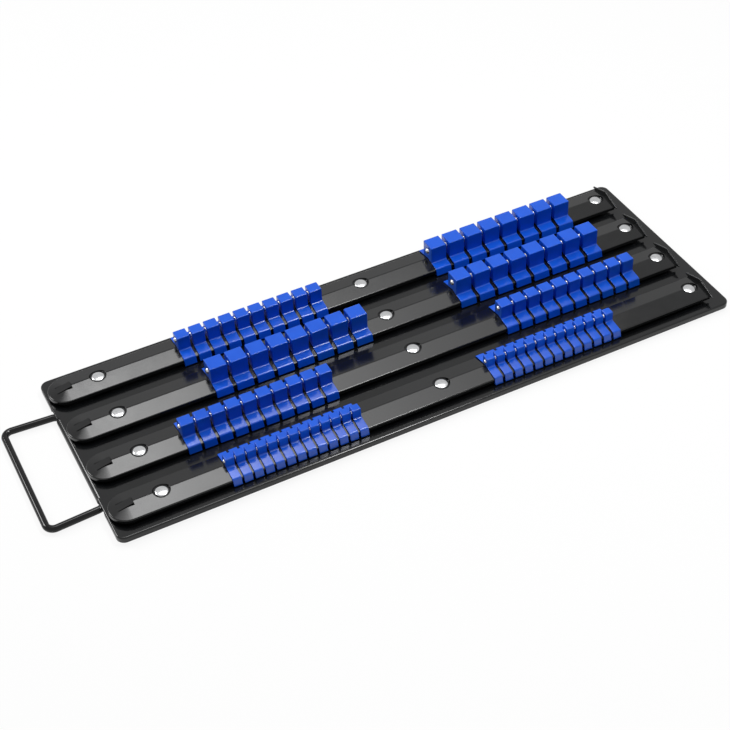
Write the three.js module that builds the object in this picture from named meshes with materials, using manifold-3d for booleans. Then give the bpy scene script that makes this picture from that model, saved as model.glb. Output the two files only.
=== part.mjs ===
// Socket rail tray: a shallow pressed tray with a fold-away wire handle, four roof-shaped
// rails riveted across it, and sliding clips whose square posts hold sockets by a sprung ball.
// Millimetres, +Z up, rails along X, handle towards -X. Rail 1 is the one furthest towards +Y.
import * as THREE from "three";
import { mergeVertices } from "three/addons/utils/BufferGeometryUtils.js";
import Module from "manifold-3d";

const wasm = await Module();
wasm.setup();

// Gaps between pieces, how far pieces that become one overlap, and how far a cutter runs past
const runningGap = 0.3;
const seatGap = 0.1;
const hair = 0.02;
const overrun = 1;

// Tray
const trayLength = 468.9;
const trayWidth = 164.8;
const trayCorner = 6;
const trayCornerSteps = 5;
const traySheet = 0.8;
const trayEdgeRound = 1.2;
const edgeMiddleShare = 0.3;
const rimHeight = 4.2;
const standGap = 0.2;

// Handle wire, and the tray edge rolled round it
const wireRadius = 2.5;
const wireSides = 8;
const wireBend = 5.5;
const wireBendSteps = 4;
const wireEndGap = 6;
const handleReach = 39.3;
const handleHingeHalf = 47.6;
const handleBarHalf = 50;
const curlHalf = 41.6;
const hingeInset = 3.15;
const legNotchSide = 2;
const curlSteps = 12;
const curlOpenAngle = 0.1;

// Rails, and how far they stay in from the tray's left, right and long edges
const railRows = [1.5, 0.5, -0.5, -1.5];
const railTipInset = 1.55;
const railEndInset = 12.35;
const railSideInset = 7.9;
const railHalf = 13;
const railSheet = 1.1;
const ridgeRise = 7.8;
const roofDrop = 2.8;
const flangeGap = 2.3;
const railEdgeRound = 0.6;
const railTipSides = 20;

// Turned-up lip at the right end of a rail
const lipHalf = 16.3;
const lipSheet = 1.2;
const lipRise = 3.4;
const lipShoulderRise = 1;
const lipDepth = 0.8;

// Stop tongue cut out of the tip of a rail
const tongueRootInset = 5.9;
const tongueLength = 10.6;
const tongueHalf = 2.9;
const tongueSlit = 0.5;
const tongueLift = 0.9;

// Rivets, the dimples they sit in, and the raised pads of the tray below them
const rivetTipInset = 36.35;
const rivetEndInset = 9.65;
const rivetHead = 4.6;
const rivetDome = 1.1;
const rivetBrim = 0.4;
const domeShoulderShare = 0.6;
const domeShoulderRiseShare = 0.75;
const rivetShank = 2.4;
const rivetTail = 4;
const rivetTailDepth = 1.6;
const rivetSides = 8;
const dimpleRadius = 6.3;
const dimpleTaper = 0.4;
const dimpleDepth = 2.1;
const padTop = 6.5;
const padFlare = 2.5;
const padSteps = 8;
const dimpleSteps = 10;

// Clips: saddle on the rail
const clipHalf = 14.8;
const clipCrown = 0.5;
const clipShoulder = 13.3;
const clipShoulderRise = 1.4;
const clipFloorGap = 0.8;
const hookReach = 1.1;

// Clips: post size, post height over the tray, ball radius, how far the ball stands out of the
// post, and ball height over the tray, by drive size
const postChamfer = 0.6;
const ballPocket = 6;
const pocketBackWall = 1.5;
const bumpSides = 6;
const bumpMiddleShare = 0.7;
const pocketSides = 8;
const ballSides = 8;
const ballRings = 5;
const ballPlay = 0.12;
const driveSizes = {
  quarter: { post: 6.1, top: 15.1, ball: 1.4, standOut: 1, ballRise: 11.4 },
  threeEighths: { post: 9.15, top: 18.5, ball: 2, standOut: 1.35, ballRise: 14.5 },
  half: { post: 12.5, top: 20.45, ball: 2.4, standOut: 1.45, ballRise: 14.6 },
};

// Clip rows: rail, side, drive size, number of clips, their pitch, and how far along the rail
// their middle lies. The clips between the first and the last are one piece with the rail, or
// one piece of their own where they are separate.
const clipRows = [
  { rail: 0, side: "L", drive: "threeEighths", count: 10, pitch: 11.444, middleShare: 0.3328 },
  { rail: 0, side: "R", drive: "half", count: 8, pitch: 15.257, middleShare: 0.78374 },
  { rail: 1, side: "L", drive: "half", count: 8, pitch: 15.371, middleShare: 0.35802 },
  { rail: 1, side: "R", drive: "half", count: 8, pitch: 15.429, middleShare: 0.78088 },
  { rail: 2, side: "L", drive: "threeEighths", count: 10, pitch: 11.256, middleShare: 0.26588 },
  { rail: 2, side: "R", drive: "threeEighths", count: 10, pitch: 11.372, middleShare: 0.80286 },
  { rail: 3, side: "L", drive: "quarter", count: 13, pitch: 7.658, middleShare: 0.2844, separate: true },
  { rail: 3, side: "R", drive: "quarter", count: 13, pitch: 8.008, middleShare: 0.71714, separate: true },
];

// Feet under the tray
const footEndInset = 58.45;
const footSideInset = 16.4;
const footRadius = 5.6;
const footFlare = 0.8;
const footSides = 12;

// Heights and positions that follow from the sizes above
const curlRadius = wireRadius + runningGap + traySheet;
const floorTop = standGap + 2 * curlRadius;
const floorUnder = floorTop - traySheet;
const rimBottom = floorTop - rimHeight;
const hingeX = -trayLength / 2 + hingeInset;
const hingeZ = floorTop - curlRadius;
const bodyShift = (handleReach + wireRadius - hingeInset) / 2;
const ridgeZ = floorTop + ridgeRise;
const roofEdgeZ = ridgeZ - roofDrop;
const flangeBottom = floorTop + flangeGap;
const shoulderZ = roofEdgeZ + clipShoulderRise;
const postRoot = ridgeZ + clipCrown;
const dimpleFloor = ridgeZ - dimpleDepth;
const dimpleUnder = dimpleFloor - railSheet;
const padZ = dimpleUnder - seatGap;
const railPitch = (trayWidth - 2 * (railSideInset + railHalf)) / (railRows.length - 1);
const railTip = -trayLength / 2 + railTipInset;
const railEnd = trayLength / 2 - railEndInset;
const rivetEnds = [railTip + rivetTipInset, railEnd - rivetEndInset];
const rivetXs = [rivetEnds[0], (rivetEnds[0] + rivetEnds[1]) / 2, rivetEnds[1]];
const footX = trayLength / 2 - footEndInset;
const footY = trayWidth / 2 - footSideInset;

// Smooth or flat-shaded mesh of one piece
function piece(name, geometry, color, metalness, roughness) {
  const material = new THREE.MeshStandardMaterial({ color, metalness, roughness });
  const mesh = new THREE.Mesh(geometry, material);
  mesh.name = name;
  return mesh;
}

function blackPaint(name, geometry) {
  return piece(name, geometry, 0x15161a, 0.3, 0.25);
}

function blueClip(name, geometry) {
  return piece(name, geometry, 0x1f4fd8, 0.4, 0.3);
}

function brightSteel(name, geometry) {
  return piece(name, geometry, 0xd5d8dc, 0.9, 0.25);
}

function blackWire(name, geometry) {
  return piece(name, geometry, 0x0d0e10, 0.4, 0.2);
}

function blackRubber(name, geometry) {
  return piece(name, geometry, 0x1b1b1b, 0, 0.9);
}

// Booleans
function toSolid(geometry) {
  const bare = geometry.clone();
  bare.deleteAttribute("normal");
  bare.deleteAttribute("uv");
  const welded = mergeVertices(bare, 1e-4);
  const mesh = new wasm.Mesh({
    numProp: 3,
    vertProperties: new Float32Array(welded.attributes.position.array),
    triVerts: new Uint32Array(welded.index.array),
  });
  return new wasm.Manifold(mesh);
}

function toGeometry(solid) {
  const mesh = solid.getMesh();
  const geometry = new THREE.BufferGeometry();
  geometry.setAttribute("position", new THREE.BufferAttribute(mesh.vertProperties, mesh.numProp));
  geometry.setIndex(new THREE.BufferAttribute(mesh.triVerts, 1));
  const flat = geometry.toNonIndexed();
  flat.computeVertexNormals();
  return flat;
}

function joined(solids) {
  return solids.reduce((whole, solid) => whole.add(solid));
}

// Primitive forms
function shapeOf(points) {
  return new THREE.Shape(points.map(([x, y]) => new THREE.Vector2(x, y)));
}

// Section given as [y, z] points, drawn along X from x0 to x1
function alongX(section, x0, x1) {
  const geometry = new THREE.ExtrudeGeometry(shapeOf(section), { depth: x1 - x0, bevelEnabled: false });
  const basis = new THREE.Matrix4().makeBasis(
    new THREE.Vector3(0, 1, 0),
    new THREE.Vector3(0, 0, 1),
    new THREE.Vector3(1, 0, 0),
  );
  geometry.applyMatrix4(basis);
  return geometry.translate(x0, 0, 0);
}

// Section given as [x, z] points, drawn along Y from -half to +half
function alongY(section, half) {
  const geometry = new THREE.ExtrudeGeometry(shapeOf(section), { depth: 2 * half, bevelEnabled: false });
  geometry.rotateX(Math.PI / 2);
  return geometry.translate(0, half, 0);
}

// Outline given as [x, y] points, drawn upwards from z0 to z1
function alongZ(outline, z0, z1) {
  const geometry = new THREE.ExtrudeGeometry(shapeOf(outline), { depth: z1 - z0, bevelEnabled: false });
  return geometry.translate(0, 0, z0);
}

// Profile given as [radius, z] points, turned about the Z axis
function turned(profile, sides) {
  const points = profile.map(([radius, z]) => new THREE.Vector2(radius, z));
  return new THREE.LatheGeometry(points, sides).rotateX(Math.PI / 2);
}

// The same about the X axis, with [radius, x] points
function turnedAboutX(profile, sides) {
  const points = profile.map(([radius, x]) => new THREE.Vector2(radius, x));
  return new THREE.LatheGeometry(points, sides).rotateZ(-Math.PI / 2);
}

function box(x0, x1, y0, y1, z0, z1) {
  const geometry = new THREE.BoxGeometry(x1 - x0, y1 - y0, z1 - z0);
  return geometry.translate((x0 + x1) / 2, (y0 + y1) / 2, (z0 + z1) / 2);
}

// Skin over rings of equal length, closed at both ends
function loft(rings) {
  const size = rings[0].length;
  const positions = rings.flat(2);
  const index = [];
  for (let level = 0; level + 1 < rings.length; level += 1) {
    for (let i = 0; i < size; i += 1) {
      const a = level * size + i;
      const b = level * size + ((i + 1) % size);
      index.push(a, b, b + size, a, b + size, a + size);
    }
  }
  const last = (rings.length - 1) * size;
  for (let i = 1; i + 1 < size; i += 1) {
    index.push(0, i + 1, i);
    index.push(last, last + i, last + i + 1);
  }
  const geometry = new THREE.BufferGeometry();
  geometry.setAttribute("position", new THREE.Float32BufferAttribute(positions, 3));
  geometry.setIndex(index);
  return geometry;
}

// Tray
function roundedRectangle(inset, z) {
  const halfX = trayLength / 2 - inset;
  const halfY = trayWidth / 2 - inset;
  const radius = trayCorner - inset;
  const ring = [];
  for (let corner = 0; corner < 4; corner += 1) {
    const signX = corner === 0 || corner === 3 ? 1 : -1;
    const signY = corner < 2 ? 1 : -1;
    for (let i = 0; i <= trayCornerSteps; i += 1) {
      const angle = (corner + i / trayCornerSteps) * Math.PI / 2;
      const x = signX * (halfX - radius) + radius * Math.cos(angle);
      const y = signY * (halfY - radius) + radius * Math.sin(angle);
      ring.push([x, y, z]);
    }
  }
  return ring;
}

function trayPan() {
  const outer = loft([
    roundedRectangle(0, rimBottom),
    roundedRectangle(0, floorTop - trayEdgeRound),
    roundedRectangle(trayEdgeRound * edgeMiddleShare, floorTop - trayEdgeRound * edgeMiddleShare),
    roundedRectangle(trayEdgeRound, floorTop),
  ]);
  const inner = loft([
    roundedRectangle(traySheet, rimBottom - hair),
    roundedRectangle(traySheet, floorUnder),
  ]);
  return toSolid(outer).subtract(toSolid(inner));
}

// Raised pad with a hollow underside, as [outside, hollow]
function trayPad(x, y) {
  const base = padTop + padFlare;
  const outside = [[0, floorUnder], [base, floorUnder], [base, floorTop], [padTop, padZ], [0, padZ]];
  const low = floorUnder - hair;
  const lid = padZ - traySheet;
  const hollow = [
    [0, low],
    [base - traySheet, low],
    [base - traySheet, floorUnder],
    [padTop - traySheet, lid],
    [0, lid],
  ];
  return [outside, hollow].map((profile) => toSolid(turned(profile, padSteps).translate(x, y, 0)));
}

function rivetHole(x, y, radius) {
  const profile = [[0, floorUnder], [radius, floorUnder], [radius, ridgeZ], [0, ridgeZ]];
  return toSolid(turned(profile, rivetSides).translate(x, y, 0));
}

// Sheet rolled down and round the wire, open where it comes back under the floor
function curlSection() {
  const from = Math.PI / 2;
  const to = 2 * Math.PI - curlOpenAngle;
  const outside = [];
  const inside = [];
  for (let i = 0; i <= curlSteps; i += 1) {
    const angle = from + (to - from) * i / curlSteps;
    const bore = curlRadius - traySheet;
    outside.push([hingeX + curlRadius * Math.cos(angle), hingeZ + curlRadius * Math.sin(angle)]);
    inside.unshift([hingeX + bore * Math.cos(angle), hingeZ + bore * Math.sin(angle)]);
  }
  const overlap = [[hingeX + traySheet, floorUnder], [hingeX + traySheet, floorTop]];
  return [...outside, ...inside, ...overlap];
}

function trayGeometry() {
  const left = -trayLength / 2;
  const notchHalf = handleBarHalf + wireRadius + legNotchSide;
  const sweep = curlRadius + runningGap;
  const rimCut = box(left - overrun, hingeX + sweep, -notchHalf, notchHalf, rimBottom - overrun, floorUnder);
  const edgeCut = box(left - overrun, hingeX, -curlHalf, curlHalf, rimBottom - overrun, floorTop + overrun);
  let tray = trayPan().subtract(toSolid(rimCut)).subtract(toSolid(edgeCut));
  tray = tray.add(toSolid(alongY(curlSection(), curlHalf)));
  for (const row of railRows) {
    for (const x of rivetXs) {
      const [outside, hollow] = trayPad(x, row * railPitch);
      const hole = rivetHole(x, row * railPitch, rivetShank + seatGap);
      tray = tray.add(outside).subtract(hollow).subtract(hole);
    }
  }
  return toGeometry(tray);
}

// Handle: a wire bent along straight runs with rounded corners
function bentWire(corners, bend) {
  const stations = [];
  const points = corners.map(([x, y]) => new THREE.Vector3(x, y, hingeZ));
  const ahead = (i) => points[i + 1].clone().sub(points[i]).normalize();
  stations.push({ point: points[0], tangent: ahead(0) });
  for (let i = 1; i + 1 < points.length; i += 1) {
    const before = ahead(i - 1);
    const after = ahead(i);
    const turn = before.angleTo(after);
    const inset = bend * Math.tan(turn / 2);
    const start = points[i].clone().addScaledVector(before, -inset);
    const side = after.clone().addScaledVector(before, -after.dot(before)).normalize();
    const centre = start.clone().addScaledVector(side, bend);
    for (let step = 0; step <= wireBendSteps; step += 1) {
      const angle = turn * step / wireBendSteps;
      const point = centre.clone().addScaledVector(side, -bend * Math.cos(angle));
      point.addScaledVector(before, bend * Math.sin(angle));
      const tangent = before.clone().multiplyScalar(Math.cos(angle));
      tangent.addScaledVector(side, Math.sin(angle));
      stations.push({ point, tangent });
    }
  }
  stations.push({ point: points.at(-1), tangent: ahead(points.length - 2) });
  return stations;
}

// Path that passes through its stations at even steps of its own parameter
class StationPath extends THREE.Curve {
  constructor(stations) {
    super();
    this.stations = stations;
  }

  station(t) {
    return this.stations[Math.round(t * (this.stations.length - 1))];
  }

  getPointAt(t) {
    return this.station(t).point.clone();
  }

  getTangentAt(t) {
    return this.station(t).tangent.clone();
  }
}

function handleGeometry() {
  const barX = hingeX - handleReach;
  const endY = wireEndGap / 2;
  const stations = bentWire([
    [hingeX, endY],
    [hingeX, handleHingeHalf],
    [barX, handleBarHalf],
    [barX, -handleBarHalf],
    [hingeX, -handleHingeHalf],
    [hingeX, -endY],
  ], wireBend);
  const section = [];
  for (let i = 0; i < wireSides; i += 1) {
    const angle = i * 2 * Math.PI / wireSides;
    section.push([wireRadius * Math.cos(angle), wireRadius * Math.sin(angle)]);
  }
  return new THREE.ExtrudeGeometry(shapeOf(section), {
    steps: stations.length - 1,
    extrudePath: new StationPath(stations),
    bevelEnabled: false,
  });
}

// Rails
function mirroredSection(half) {
  const left = half.filter(([y]) => y > 0).map(([y, z]) => [-y, z]).reverse();
  return [...half, ...left];
}

function roofZ(y) {
  return ridgeZ - roofDrop * y / railHalf;
}

// Right half of the outside from the flange bottom up to the ridge, as [y, z] or [radius, z]
function roofProfile() {
  const eave = railHalf - railEdgeRound;
  return [
    [railHalf, flangeBottom],
    [railHalf, roofEdgeZ - railEdgeRound],
    [eave, roofZ(eave)],
    [0, ridgeZ],
  ];
}

function hollowProfile() {
  const half = railHalf - railSheet;
  return [
    [half, flangeBottom - overrun],
    [half, roofZ(half) - railSheet],
    [0, ridgeZ - railSheet],
  ];
}

// Roof drawn along the rail, closed at the left by half a cone of the same slope
function roofWithTip(profile, end) {
  const tipX = railTip + railHalf;
  const straight = alongX(mirroredSection(profile), tipX, end);
  const cone = turned([[0, profile[0][1]], ...profile], railTipSides).translate(tipX, 0, 0);
  return toSolid(straight).add(toSolid(cone));
}

function railShell() {
  const outer = roofWithTip(roofProfile(), railEnd);
  const inner = roofWithTip(hollowProfile(), railEnd + overrun);
  return outer.subtract(inner).add(toSolid(alongX(lipSection(), railEnd - lipSheet, railEnd)));
}

function lipSection() {
  const under = railHalf - railSheet;
  const low = roofZ(under) - railSheet + hair;
  const shoulder = roofEdgeZ + lipShoulderRise;
  const half = [
    [lipHalf, shoulder - lipDepth],
    [lipHalf, shoulder],
    [0, ridgeZ + lipRise],
  ];
  const top = mirroredSection(half);
  return [...top, [-under, low], [0, ridgeZ - railSheet + hair], [under, low]];
}

// Cup pressed down for a rivet head, as [cup, recess]
function railDimple(x) {
  const wall = dimpleRadius + railSheet;
  const foot = dimpleRadius - dimpleTaper;
  const above = ridgeZ + overrun;
  const cupProfile = [[0, dimpleUnder], [wall - dimpleTaper, dimpleUnder], [wall, above], [0, above]];
  const cut = [
    [0, dimpleFloor],
    [foot, dimpleFloor],
    [dimpleRadius, roofZ(dimpleRadius)],
    [dimpleRadius, above],
    [0, above],
  ];
  const deepRoof = mirroredSection([[railHalf, dimpleUnder], [railHalf, roofEdgeZ], [0, ridgeZ]]);
  const roof = toSolid(alongX(deepRoof, x - 2 * wall, x + 2 * wall));
  const cup = toSolid(turned(cupProfile, dimpleSteps).translate(x, 0, 0)).intersect(roof);
  return [cup, toSolid(turned(cut, dimpleSteps).translate(x, 0, 0))];
}

// Tongue that leaves the slope of the tip at its root and ends above the ridge, freed by a slit
// round three sides
function cutTongue(rail) {
  const root = railTip + tongueRootInset;
  const free = root + tongueLength;
  const slitHalf = tongueHalf + tongueSlit;
  const slot = box(root, free + tongueSlit, -slitHalf, slitHalf, dimpleUnder, ridgeZ + overrun);
  const ring = (x, top) => [
    [x, -tongueHalf, top - railSheet],
    [x, tongueHalf, top - railSheet],
    [x, tongueHalf, top],
    [x, -tongueHalf, top],
  ];
  const sunk = root - railSheet;
  const slope = roofZ(railTip + railHalf - sunk) - hair;
  const tongue = loft([ring(sunk, slope), ring(free, ridgeZ + tongueLift)]);
  return rail.subtract(toSolid(slot)).add(toSolid(tongue));
}

// Clips
function saddleTopZ(y) {
  return postRoot - (postRoot - shoulderZ) * y / clipShoulder;
}

// Outside of a saddle, from its leaning skirts up into the foot of a post of the given half width
function saddleOutside(half) {
  return mirroredSection([
    [clipHalf, floorTop + clipFloorGap],
    [clipShoulder, shoulderZ],
    [half, saddleTopZ(half)],
    [half, postRoot + hair],
  ]);
}

// Saddle that wraps the roof and hooks under both flanges, clear of the rail all round
function looseSaddle(half) {
  const skirt = railHalf + runningGap;
  const eave = railHalf - railEdgeRound;
  const hookIn = railHalf - hookReach;
  const hookTop = flangeBottom - runningGap;
  const inside = mirroredSection([
    [hookIn, floorTop + clipFloorGap],
    [hookIn, hookTop],
    [skirt, hookTop],
    [skirt, roofEdgeZ - railEdgeRound],
    [eave, roofZ(eave) + runningGap],
    [0, ridgeZ + runningGap],
  ]);
  return [...saddleOutside(half), ...inside.reverse()];
}

// The same saddle with its inside sunk halfway into the sheet of the rail that carries it
function fixedSaddle(half) {
  const sunk = railHalf - railSheet / 2;
  const inside = mirroredSection([
    [railHalf - hookReach, floorTop + clipFloorGap],
    [sunk, roofZ(sunk) - railSheet / 2],
    [0, ridgeZ - railSheet / 2],
  ]);
  return [...saddleOutside(half), ...inside.reverse()];
}

// Square post with a chamfered top
function postGeometry(drive) {
  const half = drive.post / 2;
  const top = floorTop + drive.top;
  const square = (size, z) => [[-size, -size, z], [size, -size, z], [size, size, z], [-size, size, z]];
  return loft([square(half, postRoot), square(half, top - postChamfer), square(half - postChamfer, top)]);
}

function clipBlank(drive, saddleSection) {
  const half = drive.post / 2;
  const saddle = toSolid(alongX(saddleSection(half), -half, half));
  return saddle.add(toSolid(postGeometry(drive)));
}

// Fixed ball of a clip that is one piece with its rail
function ballBump(drive) {
  const deep = drive.ball - drive.standOut;
  const mouth = Math.sqrt(drive.ball ** 2 - deep ** 2);
  const face = -drive.post / 2;
  const tip = face - drive.standOut;
  const middle = [mouth * bumpMiddleShare, face - drive.standOut * bumpMiddleShare];
  const profile = [[0, tip], middle, [mouth, face], [mouth, face + deep], [0, face + deep]];
  return turnedAboutX(profile, bumpSides).translate(0, 0, floorTop + drive.ballRise);
}

// Blind pocket with a narrowed mouth that keeps the ball in
function ballPocketGeometry(drive) {
  const face = -drive.post / 2;
  const deep = drive.ball - drive.standOut;
  const mouth = Math.sqrt(drive.ball ** 2 - deep ** 2) + ballPlay;
  const bore = drive.ball + ballPlay;
  const end = face + Math.min(ballPocket, drive.post - pocketBackWall);
  const out = face - overrun;
  const profile = [[0, out], [mouth, out], [mouth, face], [bore, face + deep], [bore, end], [0, end]];
  return turnedAboutX(profile, pocketSides).translate(0, 0, floorTop + drive.ballRise);
}

function looseClip(drive) {
  return toGeometry(clipBlank(drive, looseSaddle).subtract(toSolid(ballPocketGeometry(drive))));
}

function fixedClip(drive, saddleSection) {
  return clipBlank(drive, saddleSection).add(toSolid(ballBump(drive)));
}

function ballGeometry(drive) {
  const ball = new THREE.SphereGeometry(drive.ball, ballSides, ballRings).rotateZ(-Math.PI / 2);
  const x = -drive.post / 2 + drive.ball - drive.standOut;
  return ball.translate(x, 0, floorTop + drive.ballRise);
}

// Middle of each clip's post along a row
function clipCentres(row) {
  const middle = railTip + row.middleShare * (railEnd - railTip);
  const first = middle - row.pitch * (row.count - 1) / 2;
  return Array.from({ length: row.count }, (_, i) => first + i * row.pitch);
}

// Copies of one clip at the places between the first and the last of a row
function middleClips(row, saddleSection) {
  const clip = toGeometry(fixedClip(driveSizes[row.drive], saddleSection));
  return clipCentres(row).slice(1, -1).map((x) => toSolid(clip.clone().translate(x, 0, 0)));
}

// Middle clips of a row as one piece, joined by a strip under each flange
function clipRowGeometry(row) {
  const centres = clipCentres(row);
  const hookIn = railHalf - hookReach;
  const low = floorTop + clipFloorGap;
  const hookTop = flangeBottom - runningGap;
  const strips = [[-railHalf, -hookIn], [hookIn, railHalf]].map(([y0, y1]) => {
    return toSolid(box(centres[1], centres.at(-2), y0, y1, low, hookTop));
  });
  return toGeometry(joined([...middleClips(row, looseSaddle), ...strips]));
}

function railGeometry(index) {
  let rail = cutTongue(railShell());
  for (const x of rivetXs) {
    const [cup, recess] = railDimple(x);
    rail = rail.add(cup).subtract(recess).subtract(rivetHole(x, 0, rivetShank + seatGap));
  }
  for (const row of clipRows.filter((entry) => entry.rail === index && !entry.separate)) {
    rail = joined([rail, ...middleClips(row, fixedSaddle)]);
  }
  return toGeometry(rail);
}

// Rivet with a domed head in the dimple and a clenched tail in the hollow of the pad
function rivetGeometry() {
  const under = dimpleFloor + seatGap;
  const brim = under + rivetBrim;
  const tailTop = padZ - traySheet - seatGap;
  const tailLow = tailTop - rivetTailDepth;
  return turned([
    [0, tailLow],
    [rivetTail, tailLow],
    [rivetTail, tailTop],
    [rivetShank, tailTop],
    [rivetShank, under],
    [rivetHead, under],
    [rivetHead, brim],
    [rivetHead * domeShoulderShare, brim + rivetDome * domeShoulderRiseShare],
    [0, brim + rivetDome],
  ], rivetSides);
}

function footGeometry() {
  const top = floorUnder - seatGap;
  return turned([[0, 0], [footRadius, 0], [footRadius + footFlare, top], [0, top]], footSides);
}

function addClips(rack, row) {
  const drive = driveSizes[row.drive];
  const centres = clipCentres(row);
  const y = railRows[row.rail] * railPitch;
  const ends = { first: centres[0], last: centres.at(-1) };
  for (const [end, x] of Object.entries(ends)) {
    const tag = `${row.rail + 1}${row.side}_${end}`;
    const clip = blueClip(`clip_${tag}`, looseClip(drive));
    const ball = brightSteel(`ball_${tag}`, ballGeometry(drive));
    clip.position.set(x, y, 0);
    ball.position.set(x, y, 0);
    rack.add(clip, ball);
  }
  if (row.separate) {
    const middle = blueClip(`clip_row_${row.rail + 1}${row.side}`, clipRowGeometry(row));
    middle.position.y = y;
    rack.add(middle);
  }
}

function buildRack() {
  const rack = new THREE.Group();
  rack.name = "socket_rail_tray";
  rack.position.x = bodyShift;
  rack.add(blackPaint("tray", trayGeometry()));
  rack.add(blackWire("handle", handleGeometry()));
  railRows.forEach((row, index) => {
    const rail = blackPaint(`rail_${index + 1}`, railGeometry(index));
    rail.position.y = row * railPitch;
    rack.add(rail);
    rivetXs.forEach((x, place) => {
      const rivet = brightSteel(`rivet_${index + 1}_${place + 1}`, rivetGeometry());
      rivet.position.set(x, row * railPitch, 0);
      rack.add(rivet);
    });
  });
  clipRows.forEach((row) => addClips(rack, row));
  [[-1, 1], [1, 1], [-1, -1], [1, -1]].forEach(([signX, signY], index) => {
    const foot = blackRubber(`foot_${index + 1}`, footGeometry());
    foot.position.set(signX * footX, signY * footY, 0);
    rack.add(foot);
  });
  return rack;
}

export default buildRack();
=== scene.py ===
import math

import bmesh
import bpy
from mathutils import Matrix, Vector


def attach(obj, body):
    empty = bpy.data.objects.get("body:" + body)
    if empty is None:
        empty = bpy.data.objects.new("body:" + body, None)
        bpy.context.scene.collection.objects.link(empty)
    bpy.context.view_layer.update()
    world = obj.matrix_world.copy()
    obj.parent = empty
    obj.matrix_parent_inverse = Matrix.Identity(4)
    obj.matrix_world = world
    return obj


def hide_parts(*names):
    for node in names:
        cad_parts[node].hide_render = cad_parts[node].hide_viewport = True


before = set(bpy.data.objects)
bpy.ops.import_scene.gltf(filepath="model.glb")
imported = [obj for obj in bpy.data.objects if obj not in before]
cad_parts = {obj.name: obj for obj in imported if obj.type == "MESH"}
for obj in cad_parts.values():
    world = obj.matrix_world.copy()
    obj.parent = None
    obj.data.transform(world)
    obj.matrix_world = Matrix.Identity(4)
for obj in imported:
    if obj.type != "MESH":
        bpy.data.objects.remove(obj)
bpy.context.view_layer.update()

# Sizes are millimetres unless a comment says metres, shapes are drawn about the middle of the
# tray, and meshes are written in metres
MM = 0.001

# Two points closer than this many millimetres are one
TOUCH = 0.002

# How far a cutter runs past the face that it opens
OVERRUN = 1.0

# Corners round a turned shape
TURNED_SIDES = 48

# Bends in degrees: faces are shaded smooth up to the first, and an edge is rounded past the
# second on the sheet parts of a rail and past the third on a clip
SMOOTH_ANGLE = 32.0
BEVEL_ANGLE = 35.0
CLIP_SHARP_ANGLE = 40.0

# Values of a noise between which a colour or a gloss changes, and how many noises it is made of
NOISE_RANGE = (0.3, 0.7)
NOISE_DETAIL = 3.0

# Where the middle of the tray lies in the part's frame
TRAY_X = 19.325

# Tray
TRAY_LENGTH = 468.9
TRAY_WIDTH = 164.8
TRAY_CORNER = 6.0
TRAY_CORNER_STEPS = 14
TRAY_SHEET = 0.8
TRAY_EDGE = 1.2
TRAY_EDGE_STEPS = 5
RIM_HEIGHT = 4.2

# Handle wire and the tray edge rolled round it, whose turn is in degrees
WIRE_RADIUS = 2.5
WIRE_SIDES = 24
WIRE_BEND = 5.5
WIRE_BEND_STEPS = 10
WIRE_END_GAP = 6.0
HANDLE_REACH = 39.3
HANDLE_HINGE_HALF = 47.6
HANDLE_BAR_HALF = 50.0
CURL_HALF = 41.6
CURL_TURN = 264.0
CURL_STEPS = 40
HINGE_INSET = 3.15
LEG_NOTCH_SIDE = 2.0
RUNNING_GAP = 0.3
STAND_GAP = 0.2

# Rails. The rows are places across the tray, in pitches from its middle.
RAIL_ROWS = (1.5, 0.5, -0.5, -1.5)
RAIL_TIP_INSET = 1.55
RAIL_END_INSET = 12.35
RAIL_SIDE_INSET = 7.9
RAIL_HALF = 13.0
RAIL_TIP_STEPS = 36
RAIL_SHEET = 1.1
RIDGE_RISE = 7.8
ROOF_DROP = 2.8
FLANGE_GAP = 2.3
RAIL_EDGE = 0.65
RAIL_EDGE_STEPS = 6
RIDGE_ROUND = 0.9

# Lip, tongue, rivets and dimples of a rail
LIP_HALF = 16.3
LIP_SHEET = 1.2
LIP_RISE = 3.4
LIP_SHOULDER_RISE = 1.0
LIP_DEPTH = 0.8
LIP_ROUND = 0.42
LIP_ROUND_STEPS = 3
TONGUE_ROOT_INSET = 5.9
TONGUE_LENGTH = 10.6
TONGUE_HALF = 2.9
TONGUE_SLIT = 0.5
TONGUE_LIFT = 0.9
TONGUE_ROUND = 0.15
TONGUE_ROUND_STEPS = 2
RIVET_TIP_INSET = 36.35
RIVET_END_INSET = 9.65
RIVET_HEAD = 4.6
RIVET_DOME = 1.1
RIVET_DOME_STEPS = 10
RIVET_BRIM = 0.4
RIVET_SHANK = 2.4
RIVET_TAIL = 4.0
RIVET_TAIL_DEPTH = 1.6
DIMPLE_RADIUS = 6.3
DIMPLE_TAPER = 0.4
DIMPLE_DEPTH = 2.1
PAD_TOP = 6.5
PAD_FLARE = 2.5
PAD_SUNK = 0.1
CUP_TOP_DROP = 0.3
SEAT_GAP = 0.1

# How far the root of the tongue reaches back into the tip, and how deep, in sheets
TONGUE_REACH_SHEETS = 2
TONGUE_DEPTH_SHEETS = 0.25

# Points of softened corners, as (outward, upward) from the sharp corner
PAD_FOOT_CORNER = ((0.6, 0.0), (-0.2, 0.5))
PAD_TOP_CORNER = ((0.3, -0.4), (-0.5, 0.0))
CUP_CORNER = ((-0.5, 0.0), (0.0, 0.5))
DIMPLE_CORNER = ((-0.4, 0.0), (0.0, 0.4))
RIVET_TAIL_CORNER = ((-0.5, 0.0), (-0.1, 0.3), (0.0, 0.8))
FOOT_LOW_CORNER = ((-0.6, 0.0), (-0.15, 0.2), (0.0, 0.7))
FOOT_TOP_CORNER = ((0.0, -0.2), (-0.2, 0.0))

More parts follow.
